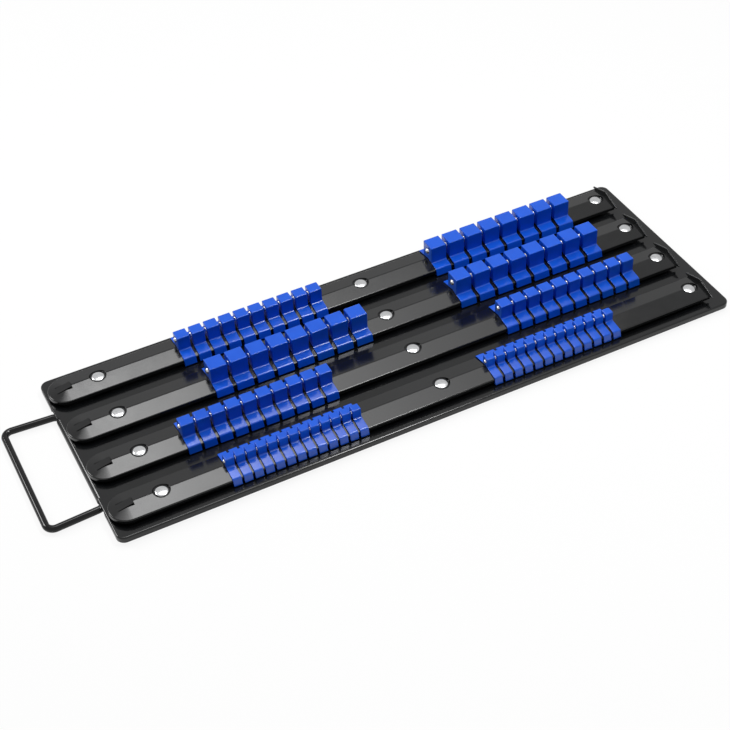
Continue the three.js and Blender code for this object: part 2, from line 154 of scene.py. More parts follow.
# Clips
CLIP_HALF = 14.8
CLIP_CROWN = 0.5
CLIP_SHOULDER = 13.3
CLIP_SHOULDER_RISE = 1.4
CLIP_EAVE_ROUND = 0.9
CLIP_EAVE_STEPS = 5
CLIP_FOOT_FILLET = 0.9
CLIP_FOOT_STEPS = 5
CLIP_EDGE = 0.3
CLIP_EDGE_STEPS = 2
CLIP_FLOOR_GAP = 0.8
HOOK_REACH = 1.1
POST_CHAMFER = 0.6
POST_CHAMFER_STEPS = 3
BALL_SIDES = 28
BALL_RINGS = 16
BALL_PLAY = 0.12
BALL_POCKET = 6.0
POCKET_BACK_WALL = 1.5
POCKET_CHAMFER = 0.25
POCKET_SIDES = 40

# Post width, post height over the tray, ball radius, how far the ball stands out of the post,
# and ball height over the tray, by drive size
SIZES = {
    "quarter": {"post": 6.1, "top": 15.1, "ball": 1.4, "out": 1.0, "rise": 11.4},
    "three_eighths": {"post": 9.15, "top": 18.5, "ball": 2.0, "out": 1.35, "rise": 14.5},
    "half": {"post": 12.5, "top": 20.45, "ball": 2.4, "out": 1.45, "rise": 14.6},
}

# Rail, side of the middle rivet, drive size, number of clips, their pitch, and how far along
# the rail their middle lies
CLIP_ROWS = (
    {"rail": 0, "side": "L", "size": "three_eighths", "count": 10, "pitch": 11.444, "middle": 0.3328},
    {"rail": 0, "side": "R", "size": "half", "count": 8, "pitch": 15.257, "middle": 0.78374},
    {"rail": 1, "side": "L", "size": "half", "count": 8, "pitch": 15.371, "middle": 0.35802},
    {"rail": 1, "side": "R", "size": "half", "count": 8, "pitch": 15.429, "middle": 0.78088},
    {"rail": 2, "side": "L", "size": "three_eighths", "count": 10, "pitch": 11.256, "middle": 0.26588},
    {"rail": 2, "side": "R", "size": "three_eighths", "count": 10, "pitch": 11.372, "middle": 0.80286},
    {"rail": 3, "side": "L", "size": "quarter", "count": 13, "pitch": 7.658, "middle": 0.2844},
    {"rail": 3, "side": "R", "size": "quarter", "count": 13, "pitch": 8.008, "middle": 0.71714},
)

# Rows whose middle clips are a piece of their own, apart from the rail
ROWS_OF_THEIR_OWN = ("4L", "4R")

# Feet
FOOT_END_INSET = 58.45
FOOT_SIDE_INSET = 16.4
FOOT_RADIUS = 5.6
FOOT_FLARE = 0.8

# Camera of the photograph: focal length in photograph pixels, nearest distance seen in metres,
# aim, distance, and angles in radians
PHOTO_PIXELS = 730
FOCAL_PIXELS = 1510.0
SENSOR_WIDTH = 36.0
NEAREST_SEEN_M = 0.01
AIM = (-5.05, -8.8, 3.2)
DISTANCE = 1062.6
AZIMUTH = -1.99887
ELEVATION = 0.74495
ROLL = -0.05704

# White studio: the world's light on the part, the share of the white that mirrored rays see,
# how dark a shadow on the floor can get, and half the floor's side in metres
AMBIENT = 0.12
MIRRORED_SHARE = 0.63
FLOOR_SHADOW = 0.1
FLOOR_HALF_M = 4.0

# Long light above the far side, made of strips side by side: brightest near the left end of
# the tray, with a short fade to the left of that and a long one to the right. In metres.
STRIP_LENGTH = 0.085
STRIP_Y = 0.32
STRIP_DEPTH = 0.42
STRIP_HEIGHT = 1.0
STRIP_WATTS = 0.88
STRIPS_LEFT = 4
STRIPS_RIGHT = 9
FADE_LEFT = 0.6
FADE_RIGHT = 0.76

# Key light straight above the right half, and a window behind the left end, in metres
KEY_PLACE = (0.32, -0.2, 1.12)
KEY_SIZE = (0.2, 0.44)
KEY_WATTS = 7.4
WINDOW_PLACE = (-0.95, 0.8, 0.9)
WINDOW_SIZE = (0.5, 0.5)
WINDOW_WATTS = 9.0

# Sizes and places that follow from those above
CURL_RADIUS = WIRE_RADIUS + RUNNING_GAP + TRAY_SHEET
FLOOR_TOP = STAND_GAP + 2 * CURL_RADIUS
FLOOR_UNDER = FLOOR_TOP - TRAY_SHEET
RIM_BOTTOM = FLOOR_TOP - RIM_HEIGHT
HINGE_X = -TRAY_LENGTH / 2 + HINGE_INSET
HINGE_Z = FLOOR_TOP - CURL_RADIUS
RIDGE_Z = FLOOR_TOP + RIDGE_RISE
ROOF_EDGE_Z = RIDGE_Z - ROOF_DROP
FLANGE_BOTTOM = FLOOR_TOP + FLANGE_GAP
DIMPLE_FLOOR = RIDGE_Z - DIMPLE_DEPTH
DIMPLE_UNDER = DIMPLE_FLOOR - RAIL_SHEET
PAD_Z = DIMPLE_UNDER - SEAT_GAP
RAIL_PITCH = (TRAY_WIDTH - 2 * (RAIL_SIDE_INSET + RAIL_HALF)) / (len(RAIL_ROWS) - 1)
RAIL_TIP = -TRAY_LENGTH / 2 + RAIL_TIP_INSET
RAIL_END = TRAY_LENGTH / 2 - RAIL_END_INSET
TIP_X = RAIL_TIP + RAIL_HALF
RIVET_ENDS = (RAIL_TIP + RIVET_TIP_INSET, RAIL_END - RIVET_END_INSET)
RIVET_XS = (RIVET_ENDS[0], sum(RIVET_ENDS) / 2, RIVET_ENDS[1])
TONGUE_ROOT = RAIL_TIP + TONGUE_ROOT_INSET
TONGUE_FREE = TONGUE_ROOT + TONGUE_LENGTH
FOOT_X = TRAY_LENGTH / 2 - FOOT_END_INSET
FOOT_Y = TRAY_WIDTH / 2 - FOOT_SIDE_INSET


# Materials. A colour is given as six sRGB hex digits and made linear.
def linear(hex_colour):
    channels = [int(hex_colour[i:i + 2], 16) / 255 for i in (0, 2, 4)]
    curve = [c / 12.92 if c <= 0.04045 else ((c + 0.055) / 1.055) ** 2.4 for c in channels]
    return (*curve, 1.0)


# Inputs of a node, each linked where it is another node's output, and set where it is a value
def set_inputs(tree, node, inputs):
    for key, value in inputs.items():
        if isinstance(value, bpy.types.NodeSocket):
            tree.links.new(value, node.inputs[key])
        else:
            node.inputs[key].default_value = value


def add_node(tree, kind, inputs, **settings):
    node = tree.nodes.new(kind)
    for name, value in settings.items():
        setattr(node, name, value)
    set_inputs(tree, node, inputs)
    return node


def new_material(name, colour, roughness, metallic=0.0, specular=0.5):
    material = bpy.data.materials.new(name)
    material.use_nodes = True
    tree = material.node_tree
    shader = tree.nodes["Principled BSDF"]
    set_inputs(tree, shader, {
        "Base Color": linear(colour),
        "Roughness": roughness,
        "Metallic": metallic,
        "Specular IOR Level": specular,
    })
    return material, tree, shader


# Material whose colour, gloss and surface each waver by a noise, with grains of a real size in
# millimetres. Its ripple is a grain, a detail and a depth.
def uneven_material(base, colours, colour_grain, gloss, gloss_grain, ripple):
    material, tree, shader = base
    ripple_grain, ripple_detail, ripple_depth = ripple
    place = add_node(tree, "ShaderNodeTexCoord", {}).outputs["Object"]
    colour_noise, gloss_noise, ripple_noise = [
        add_node(tree, "ShaderNodeTexNoise", {
            "Vector": place, "Scale": 1 / (grain * MM), "Detail": detail,
        }).outputs["Fac"]
        for grain, detail in zip(
            (colour_grain, gloss_grain, ripple_grain), (NOISE_DETAIL, NOISE_DETAIL, ripple_detail),
        )
    ]
    blend = add_node(tree, "ShaderNodeValToRGB", {"Fac": colour_noise})
    for element, position, colour in zip(blend.color_ramp.elements, NOISE_RANGE, colours):
        element.position = position
        element.color = linear(colour)
    spread = add_node(tree, "ShaderNodeMapRange", {
        "Value": gloss_noise,
        "From Min": NOISE_RANGE[0],
        "From Max": NOISE_RANGE[1],
        "To Min": gloss[0],
        "To Max": gloss[1],
    })
    bump = add_node(tree, "ShaderNodeBump", {"Height": ripple_noise, "Distance": ripple_depth * MM})
    set_inputs(tree, shader, {
        "Base Color": blend.outputs["Color"],
        "Roughness": spread.outputs["Result"],
        "Normal": bump.outputs["Normal"],
    })
    return material


# Gloss black powder coat, sprayed on and baked: a near-black face with a clear reflection of the
# room, slightly rippled by the orange peel of the coat, which is about 1.6 mm wide
def black_paint():
    return uneven_material(
        new_material("black_gloss_paint", "0a0b0c", roughness=0.14),
        colours=("090a0b", "0b0c0e"), colour_grain=18.0,
        gloss=(0.12, 0.17), gloss_grain=9.0, ripple=(1.6, 1.0, 0.006),
    )


# Mild steel wire dipped in black enamel: deeper black and glassier than the powder coat, so
# the light draws one thin line along it, wavering where the enamel ran, about 2.2 mm apart
def black_wire():
    return uneven_material(
        new_material("black_dipped_wire", "050506", roughness=0.06, specular=0.35),
        colours=("040405", "070708"), colour_grain=12.0,
        gloss=(0.04, 0.08), gloss_grain=6.0, ripple=(2.2, 1.0, 0.01),
    )


# Injection-moulded gloss nylon, coloured right through: a strong even blue with a soft sheen,
# and bright lines only where an edge is rounded. The grain of the mould is finer than shows, so
# it is drawn 0.6 mm wide.
def blue_plastic():
    return uneven_material(
        new_material("blue_moulded_nylon", "0b55cf", roughness=0.16, specular=0.45),
        colours=("0a52ca", "0d58d4"), colour_grain=14.0,
        gloss=(0.13, 0.2), gloss_grain=4.0, ripple=(0.6, 2.0, 0.006),
    )


# Nickel-plated steel, cold-headed or ground as balls: a bright mirror with a slight haze, which
# is finer than shows and drawn 0.35 mm wide
def bright_steel():
    return uneven_material(
        new_material("bright_nickel_steel", "d8d9da", roughness=0.2, metallic=1.0),
        colours=("cfd0d2", "e0e1e2"), colour_grain=2.5,
        gloss=(0.14, 0.26), gloss_grain=1.2, ripple=(0.35, 2.0, 0.004),
    )


# Black moulded rubber: matt and a little dusty, with no highlight. The dust is finer than shows
# and drawn 0.3 mm wide.
def black_rubber():
    return uneven_material(
        new_material("black_rubber", "1a1a1a", roughness=0.75),
        colours=("171717", "1f1f1f"), colour_grain=5.0,
        gloss=(0.68, 0.85), gloss_grain=2.0, ripple=(0.3, 3.0, 0.02),
    )


# Meshes, drawn in millimetres and made metres when they become pieces
def finished(edit):
    bmesh.ops.remove_doubles(edit, verts=edit.verts, dist=TOUCH)
    bmesh.ops.recalc_face_normals(edit, faces=edit.faces)
    mesh = bpy.data.meshes.new("shape")
    edit.to_mesh(mesh)
    edit.free()
    return mesh


def moved(mesh, x=0.0, y=0.0, z=0.0):
    copy = mesh.copy()
    copy.transform(Matrix.Translation((x, y, z)))
    return copy


def merged(meshes):
    edit = bmesh.new()
    for mesh in meshes:
        edit.from_mesh(mesh)
    whole = bpy.data.meshes.new("merged")
    edit.to_mesh(whole)
    edit.free()
    return whole


def drawn_line(edit, points):
    corners = [edit.verts.new(point) for point in points]
    lines = [edit.edges.new(pair) for pair in zip(corners, corners[1:])]
    return corners + lines


def verts_of(grown):
    return [item for item in grown if isinstance(item, bmesh.types.BMVert)]


def edges_of(grown):
    return [item for item in grown if isinstance(item, bmesh.types.BMEdge)]


# Points of a profile that soften its corner at a radius and height
def softened(radius, z, corner):
    return [(radius + outward, z + upward) for outward, upward in corner]


# Profile of (radius, z) points from axis to axis, spun about the upright axis
def turned(profile, sides=TURNED_SIDES):
    edit = bmesh.new()
    line = drawn_line(edit, [(radius, 0, z) for radius, z in profile])
    bmesh.ops.spin(edit, geom=line, axis=(0, 0, 1), angle=2 * math.pi, steps=sides, use_merge=True)
    return finished(edit)


# Cutter for a rivet's hole, its corners between those of the rounds that it goes through
def rivet_hole(low):
    radius = RIVET_SHANK + SEAT_GAP
    hole = turned([(0, low), (radius, low), (radius, RIDGE_Z), (0, RIDGE_Z)])
    hole.transform(Matrix.Rotation(math.pi / TURNED_SIDES, 4, "Z"))
    return hole


# Face through the points, drawn out along a vector
def drawn_out(points, reach):
    edit = bmesh.new()
    face = edit.faces.new([edit.verts.new(point) for point in points])
    grown = bmesh.ops.extrude_face_region(edit, geom=[face])["geom"]
    bmesh.ops.translate(edit, vec=reach, verts=verts_of(grown))
    return finished(edit)


def along_x(section, x0, x1):
    return drawn_out([(x0, y, z) for y, z in section], (x1 - x0, 0, 0))


def block(edit, low, high):
    middle = [(a + b) / 2 for a, b in zip(low, high)]
    size = [b - a for a, b in zip(low, high)]
    place = Matrix.Translation(middle) @ Matrix.Diagonal((*size, 1))
    bmesh.ops.create_cube(edit, size=1, matrix=place)


def box_mesh(low, high):
    edit = bmesh.new()
    block(edit, low, high)
    return finished(edit)


def edges_where(edit, test):
    return [edge for edge in edit.edges if all(test(vert.co) for vert in edge.verts)]


def faces_where(edit, test):
    return [face for face in edit.faces if all(test(vert.co) for vert in face.verts)]


def near(value, level):
    return abs(value - level) < TOUCH


def round_edges(edit, edges, offset, segments):
    bmesh.ops.bevel(
        edit, geom=edges, offset=offset, segments=segments, profile=0.5, affect="EDGES", material=-1,
        clamp_overlap=False,
    )
    bmesh.ops.remove_doubles(edit, verts=edit.verts, dist=TOUCH)


def upright_edges(edit):
    ends = [(edge, *[vert.co for vert in edge.verts]) for edge in edit.edges]
    return [edge for edge, a, b in ends if near(a.x, b.x) and near(a.y, b.y)]


def scratch_object(mesh):
    scratch = bpy.data.objects.new("scratch", mesh)
    bpy.context.scene.collection.objects.link(scratch)
    return scratch


def evaluated_mesh(scratch):
    depsgraph = bpy.context.evaluated_depsgraph_get()
    result = bpy.data.meshes.new_from_object(scratch.evaluated_get(depsgraph))
    bpy.data.objects.remove(scratch)
    return result


# Points that a cut left almost on each other made one, and loose edges deleted
def welded(mesh):
    edit = bmesh.new()
    edit.from_mesh(mesh)
    bmesh.ops.remove_doubles(edit, verts=edit.verts, dist=TOUCH)
    bmesh.ops.dissolve_degenerate(edit, edges=edit.edges, dist=TOUCH)
    bmesh.ops.delete(edit, geom=[edge for edge in edit.edges if edge.is_wire], context="EDGES")
    edit.to_mesh(mesh)
    edit.free()
    return mesh


def combined(base, tools, operation):
    target = scratch_object(base)
    helpers = [scratch_object(tool) for tool in tools]
    for helper in helpers:
        modifier = target.modifiers.new("combine", "BOOLEAN")
        modifier.operation = operation
        modifier.solver = "EXACT"
        modifier.object = helper
    result = evaluated_mesh(target)
    for helper in helpers:
        bpy.data.objects.remove(helper)
    return welded(result)


def bevelled(mesh, width, segments):
    target = scratch_object(mesh)
    modifier = target.modifiers.new("round", "BEVEL")
    modifier.width = width
    modifier.segments = segments
    modifier.limit_method = "ANGLE"
    modifier.angle_limit = math.radians(BEVEL_ANGLE)
    return evaluated_mesh(target)


# Open skin given its sheet thickness on the inner side
def thickened(mesh, sheet):
    target = scratch_object(mesh)
    modifier = target.modifiers.new("sheet", "SOLIDIFY")
    modifier.thickness = sheet
    modifier.offset = -1
    modifier.use_even_offset = True
    return evaluated_mesh(target)


def add_piece(name, mesh, material, body, node=None):
    mesh.transform(Matrix.Scale(MM, 4))
    mesh.materials.clear()
    mesh.materials.append(material)
    mesh.shade_smooth()
    mesh.set_sharp_from_angle(angle=math.radians(SMOOTH_ANGLE))
    mesh.name = name
    piece = bpy.data.objects.new(name, mesh)
    bpy.context.scene.collection.objects.link(piece)
    even = piece.modifiers.new("even_normals", "WEIGHTED_NORMAL")
    even.keep_sharp = True
    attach(piece, body)
    if node:
        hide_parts(node)


# Tray
def tray_pan():
    edit = bmesh.new()
    half_x, half_y = TRAY_LENGTH / 2, TRAY_WIDTH / 2
    block(edit, (-half_x, -half_y, RIM_BOTTOM), (half_x, half_y, FLOOR_TOP))
    round_edges(edit, upright_edges(edit), TRAY_CORNER, TRAY_CORNER_STEPS)
    top_edges = edges_where(edit, lambda co: near(co.z, FLOOR_TOP))
    round_edges(edit, top_edges, TRAY_EDGE, TRAY_EDGE_STEPS)
    under = faces_where(edit, lambda co: near(co.z, RIM_BOTTOM))
    bmesh.ops.delete(edit, geom=under, context="FACES_ONLY")
    return thickened(finished(edit), TRAY_SHEET)


# Outside of a raised pad, and the hollow under it
def pad_profiles():
    base = PAD_TOP + PAD_FLARE
    root = FLOOR_UNDER + PAD_SUNK
    low = FLOOR_UNDER - OVERRUN
    lid = PAD_Z - TRAY_SHEET
    bore = base - TRAY_SHEET
    outside = [(0, root), (base, root)]
    outside += softened(base, FLOOR_TOP, PAD_FOOT_CORNER)
    outside += softened(PAD_TOP, PAD_Z, PAD_TOP_CORNER)
    outside += [(0, PAD_Z)]
    hollow = [(0, low), (bore, low), (bore, FLOOR_UNDER), (PAD_TOP - TRAY_SHEET, lid), (0, lid)]
    return outside, hollow


# Sheet end spun round the wire, from over it to just short of the floor's underside
def curl_mesh():
    edit = bmesh.new()
    corners = [(HINGE_X, y, z) for y in (-CURL_HALF, CURL_HALF) for z in (FLOOR_UNDER, FLOOR_TOP)]
    face = edit.faces.new([edit.verts.new(corners[i]) for i in (0, 1, 3, 2)])
    bmesh.ops.spin(
        edit, geom=[face], cent=(HINGE_X, 0, HINGE_Z), axis=(0, -1, 0),
        angle=math.radians(CURL_TURN), steps=CURL_STEPS,
    )
    return finished(edit)


def build_tray(material):
    left = -TRAY_LENGTH / 2 - OVERRUN
    low = RIM_BOTTOM - OVERRUN
    notch = HANDLE_BAR_HALF + WIRE_RADIUS + LEG_NOTCH_SIDE
    sweep = CURL_RADIUS + RUNNING_GAP
    cuts = [
        box_mesh((left, -notch, low), (HINGE_X + sweep, notch, FLOOR_UNDER)),
        box_mesh((left, -CURL_HALF, low), (HINGE_X, CURL_HALF, FLOOR_TOP + OVERRUN)),
    ]
    pan = combined(tray_pan(), cuts, "DIFFERENCE")
    outside, hollow = (turned(profile) for profile in pad_profiles())
    hole = rivet_hole(FLOOR_UNDER)
    places = [(x, row * RAIL_PITCH) for row in RAIL_ROWS for x in RIVET_XS]
    raised = merged([moved(outside, x, y) for x, y in places])
    hollows = merged([moved(hollow, x, y) for x, y in places])
    holes = merged([moved(hole, x, y) for x, y in places])
    pan = combined(pan, [raised], "UNION")
    pan = combined(pan, [hollows, holes], "DIFFERENCE")
    whole = merged([pan, curl_mesh()])
    add_piece("tray_sheet", moved(whole, TRAY_X), material, "tray", "tray")


# Round section of the handle wire, square to its first run
def wire_section(edit, start, direction):
    turn = direction.to_track_quat("Z", "Y").to_matrix().to_4x4()
    place = Matrix.Translation(start) @ turn
    bmesh.ops.create_circle(edit, radius=WIRE_RADIUS, segments=WIRE_SIDES, matrix=place)
    return edit.edges[:]


# Wire whose section is drawn out along each run and spun round each bend
def bent_wire(corners):
    edit = bmesh.new()
    points = [Vector((x, y, HINGE_Z)) for x, y in corners]
    ahead = [(b - a).normalized() for a, b in zip(points, points[1:])]
    section = wire_section(edit, points[0], ahead[0])
    at = points[0]
    for i, direction in enumerate(ahead):
        is_last = i == len(ahead) - 1
        angle = 0 if is_last else direction.angle(ahead[i + 1])
        stop = points[i + 1] - direction * WIRE_BEND * math.tan(angle / 2)
        grown = bmesh.ops.extrude_edge_only(edit, edges=section)["geom"]
        section = edges_of(grown)
        ends = verts_of(grown)
        bmesh.ops.translate(edit, vec=stop - at, verts=ends)
        if is_last:
            break
        axis = direction.cross(ahead[i + 1]).normalized()
        centre = stop + axis.cross(direction) * WIRE_BEND
        spun = bmesh.ops.spin(
            edit, geom=section + ends, cent=centre, axis=axis, angle=angle, steps=WIRE_BEND_STEPS,
        )
        section = edges_of(spun["geom_last"])
        at = points[i + 1] + ahead[i + 1] * WIRE_BEND * math.tan(angle / 2)
    bmesh.ops.remove_doubles(edit, verts=edit.verts, dist=TOUCH)
    bmesh.ops.holes_fill(edit, edges=[e for e in edit.edges if e.is_boundary], sides=0)
    return finished(edit)


def build_handle(material):
    bar_x = HINGE_X - HANDLE_REACH
    end_y = WIRE_END_GAP / 2
    wire = bent_wire([
        (HINGE_X, end_y),
        (HINGE_X, HANDLE_HINGE_HALF),
        (bar_x, HANDLE_BAR_HALF),
        (bar_x, -HANDLE_BAR_HALF),
        (HINGE_X, -HANDLE_HINGE_HALF),
        (HINGE_X, -end_y),
    ])
    add_piece("handle_wire", moved(wire, TRAY_X), material, "handle", "handle")


# Rails
def roof_z(y):
    return RIDGE_Z - ROOF_DROP * abs(y) / RAIL_HALF


# Line of one wall: the inside of the roof, the foot of the flange, and the outside up to the ridge
def wall_line(edit):
    inner = RAIL_HALF - RAIL_SHEET
    crown = RIDGE_Z - ROOF_DROP / RAIL_HALF * RIDGE_ROUND / 2
    drawn_line(edit, [(TIP_X, y, z) for y, z in (
        (0, RIDGE_Z - RAIL_SHEET),
        (inner, roof_z(inner) - RAIL_SHEET),
        (inner, FLANGE_BOTTOM),
        (RAIL_HALF, FLANGE_BOTTOM),
        (RAIL_HALF, ROOF_EDGE_Z),
        (RIDGE_ROUND, roof_z(RIDGE_ROUND)),
        (RIDGE_ROUND / 2, (crown + roof_z(RIDGE_ROUND / 2)) / 2 + (RIDGE_Z - crown) / 4),
        (0, crown),
    )])
    eave = [v for v in edit.verts if near(v.co.y, RAIL_HALF) and near(v.co.z, ROOF_EDGE_Z)]
    bmesh.ops.bevel(
        edit, geom=eave, offset=RAIL_EDGE, segments=RAIL_EDGE_STEPS, profile=0.5, affect="VERTICES",
        material=-1,
    )


# Wall line spun half round the tip, and its two ends drawn out along the rail
def rail_shell():
    edit = bmesh.new()
    wall_line(edit)
    line = edit.verts[:] + edit.edges[:]
    bmesh.ops.spin(
        edit, geom=line, cent=(TIP_X, 0, 0), axis=(0, 0, 1), angle=math.pi, steps=RAIL_TIP_STEPS,
    )
    bmesh.ops.remove_doubles(edit, verts=edit.verts, dist=TOUCH)
    ends = [edge for edge in edit.edges if edge.is_boundary]
    grown = bmesh.ops.extrude_edge_only(edit, edges=ends)["geom"]
    reach = (RAIL_END - LIP_SHEET / 2 - TIP_X, 0, 0)
    bmesh.ops.translate(edit, vec=reach, verts=verts_of(grown))
    bmesh.ops.holes_fill(edit, edges=[edge for edge in edit.edges if edge.is_boundary], sides=0)
    return finished(edit)


def mirrored(half):
    return half + [(-y, z) for y, z in reversed(half) if y > 0]


def lip_mesh():
    under = RAIL_HALF - RAIL_SHEET
    shoulder = ROOF_EDGE_Z + LIP_SHOULDER_RISE
    low = roof_z(under) - RAIL_SHEET
    top = mirrored([(LIP_HALF, shoulder - LIP_DEPTH), (LIP_HALF, shoulder), (0, RIDGE_Z + LIP_RISE)])
    section = top + [(-under, low), (0, RIDGE_Z - RAIL_SHEET), (under, low)]
    plate = along_x(section, RAIL_END - LIP_SHEET, RAIL_END)
    return bevelled(plate, LIP_ROUND, LIP_ROUND_STEPS)


# Flat strip that leaves the slope of the tip at its root and stands up at its free end
def tongue_mesh():
    sunk = TONGUE_ROOT - TONGUE_REACH_SHEETS * RAIL_SHEET
    sunk_z = roof_z(TIP_X - sunk) - TONGUE_DEPTH_SHEETS * RAIL_SHEET
    root_z = roof_z(TIP_X - TONGUE_ROOT)
    free_z = RIDGE_Z + TONGUE_LIFT
    edit = bmesh.new()
    line = [(sunk, sunk_z), (TONGUE_ROOT, root_z), (TONGUE_FREE, free_z)]
    drawn_line(edit, [(x, -TONGUE_HALF, z) for x, z in line])
    grown = bmesh.ops.extrude_edge_only(edit, edges=edit.edges[:])["geom"]
    across = (0, 2 * TONGUE_HALF, 0)
    bmesh.ops.translate(edit, vec=across, verts=verts_of(grown))
    strip = finished(edit)
    if strip.polygons[0].normal.z < 0:
        strip.flip_normals()
    return bevelled(thickened(strip, RAIL_SHEET), TONGUE_ROUND, TONGUE_ROUND_STEPS)


# Cup under the roof, the dimple cut into it and the rivet's hole, each at all three places
def dimple_tools():
    wall = DIMPLE_RADIUS + RAIL_SHEET
    wall_top = roof_z(wall) - CUP_TOP_DROP
    foot = DIMPLE_RADIUS - DIMPLE_TAPER
    open_z = RIDGE_Z + OVERRUN
    cup = [(0, DIMPLE_UNDER), *softened(wall - DIMPLE_TAPER, DIMPLE_UNDER, CUP_CORNER)]
    cup += [(wall, wall_top), (0, wall_top)]
    cut = [(0, DIMPLE_FLOOR), *softened(foot, DIMPLE_FLOOR, DIMPLE_CORNER)]
    cut += [(DIMPLE_RADIUS, open_z), (0, open_z)]
    tools = (turned(cup), turned(cut), rivet_hole(FLANGE_BOTTOM))
    return [merged([moved(tool, x) for x in RIVET_XS]) for tool in tools]


def rail_mesh():
    slit = TONGUE_HALF + TONGUE_SLIT
    low = DIMPLE_UNDER - TONGUE_SLIT
    slot_end = (TONGUE_FREE + TONGUE_SLIT, slit, RIDGE_Z + OVERRUN)
    slot = box_mesh((TONGUE_ROOT, -slit, low), slot_end)
    cup, cut, hole = dimple_tools()
    rail = combined(rail_shell(), [lip_mesh(), cup], "UNION")
    rail = combined(rail, [cut, hole, slot], "DIFFERENCE")
    return combined(rail, [tongue_mesh()], "UNION")


# Rivets and feet
def rivet_mesh():
    under = DIMPLE_FLOOR + SEAT_GAP
    brim = under + RIVET_BRIM
    tail_top = PAD_Z - TRAY_SHEET - SEAT_GAP
    tail_low = tail_top - RIVET_TAIL_DEPTH
    profile = [(0, tail_low), *softened(RIVET_TAIL, tail_low, RIVET_TAIL_CORNER)]
    profile += [(RIVET_TAIL, tail_top), (RIVET_SHANK, tail_top), (RIVET_SHANK, under)]
    profile += [(RIVET_HEAD, under)]
    angles = [math.pi / 2 * i / RIVET_DOME_STEPS for i in range(RIVET_DOME_STEPS)]
    profile += [(RIVET_HEAD * math.cos(a), brim + RIVET_DOME * math.sin(a)) for a in angles]
    return turned(profile + [(0, brim + RIVET_DOME)])


def foot_mesh():
    top = FLOOR_UNDER - SEAT_GAP
    profile = [(0, 0), *softened(FOOT_RADIUS, 0, FOOT_LOW_CORNER)]
    profile += softened(FOOT_RADIUS + FOOT_FLARE, top, FOOT_TOP_CORNER)
    return turned(profile + [(0, top)])


# Clips
def clip_roof_z(y):
    shoulder = ROOF_EDGE_Z + CLIP_SHOULDER_RISE
    ridge = RIDGE_Z + CLIP_CROWN
    return ridge - (ridge - shoulder) * y / CLIP_SHOULDER


# Saddle and post seen along the rail
def clip_section(size):
    half = size["post"] / 2
    top = FLOOR_TOP + size["top"]
    skirt = RAIL_HALF + RUNNING_GAP
    hook_in = RAIL_HALF - HOOK_REACH
    low = FLOOR_TOP + CLIP_FLOOR_GAP
    hook_top = FLANGE_BOTTOM - RUNNING_GAP
    outer = mirrored([
        (CLIP_HALF, low),
        (CLIP_SHOULDER, clip_roof_z(CLIP_SHOULDER)),
        (half, clip_roof_z(half)),
        (half, top),
    ])
    inner = mirrored([
        (hook_in, low),
        (hook_in, hook_top),
        (skirt, hook_top),
        (skirt, ROOF_EDGE_Z - RAIL_EDGE),
        (RAIL_HALF - RAIL_EDGE, roof_z(RAIL_HALF - RAIL_EDGE) + RUNNING_GAP),
        (0, RIDGE_Z + RUNNING_GAP),
    ])
    return outer + list(reversed(inner))


def lengthwise_edges(edit, y, z):
    return edges_where(edit, lambda co: near(abs(co.y), y) and near(co.z, z))


def sharp_edges(edit):
    limit = math.radians(CLIP_SHARP_ANGLE)
    return [edge for edge in edit.edges if edge.calc_face_angle(0.0) > limit]


# Section drawn along the rail, with its eaves, the foot of the post and the top rounded
def clip_blank(size):
    half = size["post"] / 2
    top = FLOOR_TOP + size["top"]
    edit = bmesh.new()
    edit.from_mesh(along_x(clip_section(size), -half, half))
    eaves = lengthwise_edges(edit, CLIP_SHOULDER, clip_roof_z(CLIP_SHOULDER))
    round_edges(edit, eaves, CLIP_EAVE_ROUND, CLIP_EAVE_STEPS)
    post_foot = lengthwise_edges(edit, half, clip_roof_z(half))
    round_edges(edit, post_foot, CLIP_FOOT_FILLET, CLIP_FOOT_STEPS)
    post_top = edges_where(edit, lambda co: near(co.z, top))
    round_edges(edit, post_top, POST_CHAMFER, POST_CHAMFER_STEPS)
    round_edges(edit, sharp_edges(edit), CLIP_EDGE, CLIP_EDGE_STEPS)
    return finished(edit)


# Cutter for the ball's pocket, whose mouth is narrower than the ball
def pocket_mesh(size):
    face = -size["post"] / 2
    out = face - OVERRUN
    deep = size["ball"] - size["out"]
    mouth = math.sqrt(size["ball"] ** 2 - deep ** 2) + BALL_PLAY
    wide = mouth + POCKET_CHAMFER
    bore = size["ball"] + BALL_PLAY
    end = face + min(BALL_POCKET, size["post"] - POCKET_BACK_WALL)
    profile = [(0, out), (wide, out), (wide, face), (mouth, face + POCKET_CHAMFER)]
    profile += [(bore, face + max(deep, 2 * POCKET_CHAMFER)), (bore, end), (0, end)]
    pocket = turned(profile, POCKET_SIDES)
    pocket.transform(Matrix.Rotation(math.radians(90), 4, "Y"))
    return moved(pocket, 0, 0, FLOOR_TOP + size["rise"])


def clip_mesh(size):
    return combined(clip_blank(size), [pocket_mesh(size)], "DIFFERENCE")


def ball_mesh(size):
    edit = bmesh.new()
    bmesh.ops.create_uvsphere(edit, u_segments=BALL_SIDES, v_segments=BALL_RINGS, radius=size["ball"])
    x = -size["post"] / 2 + size["ball"] - size["out"]
    return moved(finished(edit), x, 0, FLOOR_TOP + size["rise"])


def clip_centres(row):
    middle = RAIL_TIP + row["middle"] * (RAIL_END - RAIL_TIP)
    first = middle - row["pitch"] * (row["count"] - 1) / 2
    return [first + i * row["pitch"] for i in range(row["count"])]


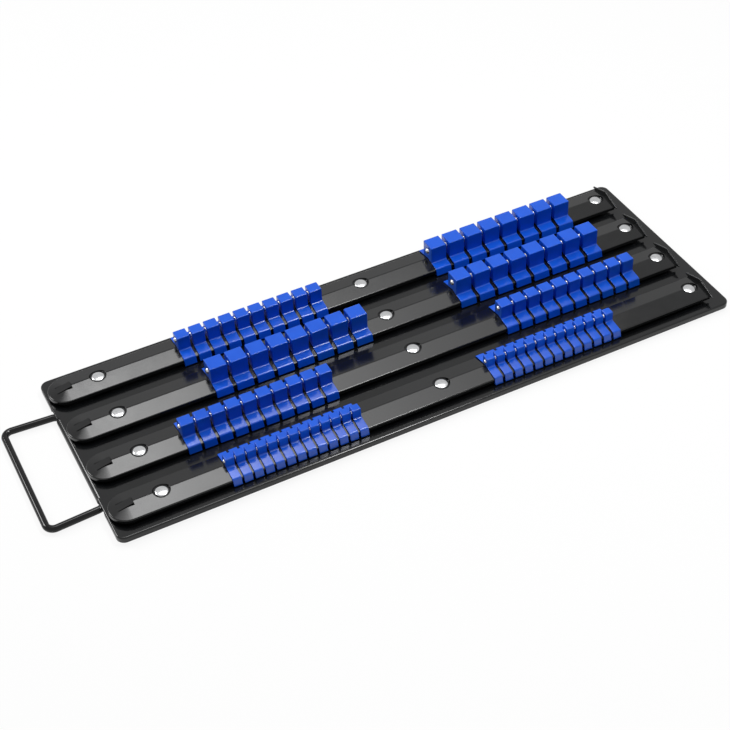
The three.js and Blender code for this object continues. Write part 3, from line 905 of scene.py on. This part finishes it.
# The first and last clip of a row ride on bodies of their own, the others on the tray
def build_clips(plastic, steel):
    clips = {name: clip_mesh(size) for name, size in SIZES.items()}
    balls = {name: ball_mesh(size) for name, size in SIZES.items()}
    for row in CLIP_ROWS:
        row_name = f"{row['rail'] + 1}{row['side']}"
        y = RAIL_ROWS[row["rail"]] * RAIL_PITCH
        ends = {0: "first", row["count"] - 1: "last"}
        for i, x in enumerate(clip_centres(row)):
            clip = moved(clips[row["size"]], x + TRAY_X, y)
            ball = moved(balls[row["size"]], x + TRAY_X, y)
            if i in ends:
                clip_name = f"clip_{row_name}_{ends[i]}"
                ball_name = f"ball_{row_name}_{ends[i]}"
                add_piece(f"loose_{clip_name}", clip, plastic, clip_name, clip_name)
                add_piece(f"loose_{ball_name}", ball, steel, ball_name, ball_name)
            else:
                tag = f"{row_name}_{i + 1:02d}"
                node = f"clip_row_{row_name}" if row_name in ROWS_OF_THEIR_OWN else None
                add_piece(f"row_clip_{tag}", clip, plastic, "tray", node)
                add_piece(f"row_ball_{tag}", ball, steel, "tray")


def build_rails(paint, steel):
    rail = rail_mesh()
    rivet = rivet_mesh()
    for index, row in enumerate(RAIL_ROWS):
        number = index + 1
        y = row * RAIL_PITCH
        sheet = moved(rail, TRAY_X, y)
        add_piece(f"rail_sheet_{number}", sheet, paint, "tray", f"rail_{number}")
        for place, x in enumerate(RIVET_XS, 1):
            name = f"rivet_{number}_{place}"
            add_piece(f"domed_{name}", moved(rivet, x + TRAY_X, y), steel, "tray", name)


def build_feet(rubber):
    foot = foot_mesh()
    for index, (sign_x, sign_y) in enumerate(((-1, 1), (1, 1), (-1, -1), (1, -1)), 1):
        place = moved(foot, sign_x * FOOT_X + TRAY_X, sign_y * FOOT_Y)
        add_piece(f"rubber_foot_{index}", place, rubber, "tray", f"foot_{index}")


# Camera and studio
def add_camera():
    towards = Vector((
        math.cos(ELEVATION) * math.cos(AZIMUTH),
        math.cos(ELEVATION) * math.sin(AZIMUTH),
        math.sin(ELEVATION),
    ))
    right = (-towards).cross(Vector((0, 0, 1))).normalized()
    up = right.cross(-towards)
    turned_right = right * math.cos(ROLL) + up * math.sin(ROLL)
    turned_up = up * math.cos(ROLL) - right * math.sin(ROLL)
    camera = bpy.data.objects.new("camera", bpy.data.cameras.new("camera"))
    camera.data.sensor_width = SENSOR_WIDTH
    camera.data.lens = FOCAL_PIXELS / PHOTO_PIXELS * SENSOR_WIDTH
    camera.data.clip_start = NEAREST_SEEN_M
    place = (Vector(AIM) + towards * DISTANCE) * MM
    turn = Matrix((turned_right, turned_up, towards)).transposed().to_4x4()
    camera.matrix_world = Matrix.Translation(place) @ turn
    bpy.context.scene.collection.objects.link(camera)
    bpy.context.scene.camera = camera


# Value that is one for rays that should see the white background, and a share for mirrored ones
def background_rays(tree):
    rays = add_node(tree, "ShaderNodeLightPath", {}).outputs
    mirrored_rays = {0: rays["Is Glossy Ray"], 1: MIRRORED_SHARE}
    total = add_node(tree, "ShaderNodeMath", mirrored_rays, operation="MULTIPLY").outputs[0]
    for ray in ("Is Camera Ray", "Is Transmission Ray"):
        both = {0: total, 1: rays[ray]}
        total = add_node(tree, "ShaderNodeMath", both, operation="ADD", use_clamp=True).outputs[0]
    return total


def white_world():
    world = bpy.data.worlds.new("white_studio")
    bpy.context.scene.world = world
    world.use_nodes = True
    tree = world.node_tree
    strength = add_node(tree, "ShaderNodeMapRange", {
        "Value": background_rays(tree),
        "To Min": AMBIENT,
        "To Max": 1.0,
    })
    set_inputs(tree, tree.nodes["Background"], {
        "Color": (1, 1, 1, 1),
        "Strength": strength.outputs["Result"],
    })


# Matt white that glows for the rays that see the background, so that only shadows show on it
def white_floor_material():
    material, tree, shader = new_material("white_floor", "f4f4f4", roughness=0.9, specular=0.0)
    glow = add_node(tree, "ShaderNodeEmission", {"Color": (1, 1, 1, 1), "Strength": 1.0})
    amount = add_node(tree, "ShaderNodeMapRange", {
        "Value": background_rays(tree),
        "To Min": 0.0,
        "To Max": 1 - FLOOR_SHADOW,
    })
    mix = add_node(tree, "ShaderNodeMixShader", {
        "Fac": amount.outputs["Result"],
        1: shader.outputs["BSDF"],
        2: glow.outputs["Emission"],
    })
    set_inputs(tree, tree.nodes["Material Output"], {"Surface": mix.outputs["Shader"]})
    return material


def white_floor():
    edit = bmesh.new()
    bmesh.ops.create_grid(edit, x_segments=1, y_segments=1, size=FLOOR_HALF_M)
    mesh = bpy.data.meshes.new("floor")
    edit.to_mesh(mesh)
    edit.free()
    mesh.materials.append(white_floor_material())
    floor = bpy.data.objects.new("floor", mesh)
    bpy.context.scene.collection.objects.link(floor)


def area_light(name, place, aim, size, watts):
    light = bpy.data.lights.new(name, "AREA")
    light.shape = "RECTANGLE"
    light.size, light.size_y = size
    light.energy = watts
    lamp = bpy.data.objects.new(name, light)
    direction = Vector(aim) - Vector(place)
    turn = direction.to_track_quat("-Z", "Y").to_matrix().to_4x4()
    lamp.matrix_world = Matrix.Translation(Vector(place)) @ turn
    bpy.context.scene.collection.objects.link(lamp)


def straight_below(place):
    return (place[0], place[1], 0.0)


def fading_light():
    for index in range(-STRIPS_LEFT, STRIPS_RIGHT):
        place = ((index - 0.5) * STRIP_LENGTH, STRIP_Y, STRIP_HEIGHT)
        watts = STRIP_WATTS * (FADE_RIGHT ** index if index >= 0 else FADE_LEFT ** -index)
        name = f"strip_{index + STRIPS_LEFT + 1}"
        area_light(name, place, straight_below(place), (STRIP_LENGTH, STRIP_DEPTH), watts)


def add_studio():
    white_world()
    white_floor()
    fading_light()
    area_light("key", KEY_PLACE, straight_below(KEY_PLACE), KEY_SIZE, KEY_WATTS)
    area_light("window", WINDOW_PLACE, (0.0, 0.0, 0.0), WINDOW_SIZE, WINDOW_WATTS)


def main():
    paint = black_paint()
    steel = bright_steel()
    build_tray(paint)
    build_handle(black_wire())
    build_rails(paint, steel)
    build_clips(blue_plastic(), steel)
    build_feet(black_rubber())
    add_camera()
    add_studio()
    bpy.context.scene.view_settings.view_transform = "Standard"


main()
